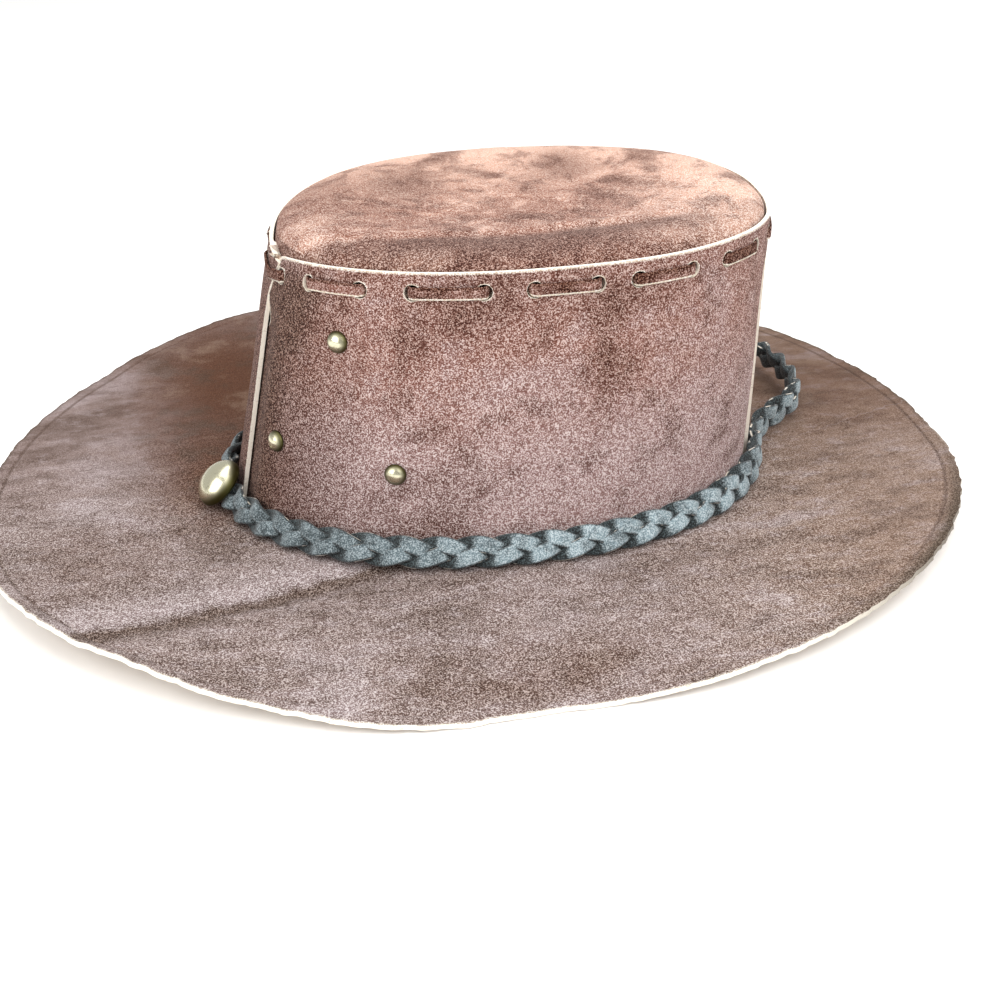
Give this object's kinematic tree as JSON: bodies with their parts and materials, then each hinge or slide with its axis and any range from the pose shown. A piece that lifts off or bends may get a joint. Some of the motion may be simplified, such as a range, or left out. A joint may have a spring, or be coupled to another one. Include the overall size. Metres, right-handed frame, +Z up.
{
  "type": "cowboy hat",
  "caption": "Suede cowboy hat with a low oval crown laced to a moulded top, a wide flat brim, a braided leather hatband and a domed metal button.",
  "frame": {"origin": "middle of the bottom of the hat's box, on the floor that the brim rests on", "axes": "+X towards the hat's back, +Y towards the wearer's right, +Z up"},
  "size_m": [0.3848, 0.354, 0.1155],
  "materials": {
    "suede_brim": "greyish brown suede",
    "suede_crown": "reddish brown suede",
    "suede_top": "worn light brown suede",
    "suede_lace": "brown suede",
    "braid": "dark grey matt leather",
    "button_metal": "worn satin",
    "stud_metal": "antique"
  },
  "bodies": {
    "root": {"brim": "suede_brim", "wall_left": "suede_crown", "wall_right": "suede_crown", "top": "suede_top", "lace": "suede_lace", "hatband": "braid", "button": "button_metal", "stud_left_1": "stud_metal", "stud_left_2": "stud_metal", "stud_left_3": "stud_metal", "stud_right_1": "stud_metal", "stud_right_2": "stud_metal", "stud_right_3": "stud_metal"}
  },
  "joints": []
}
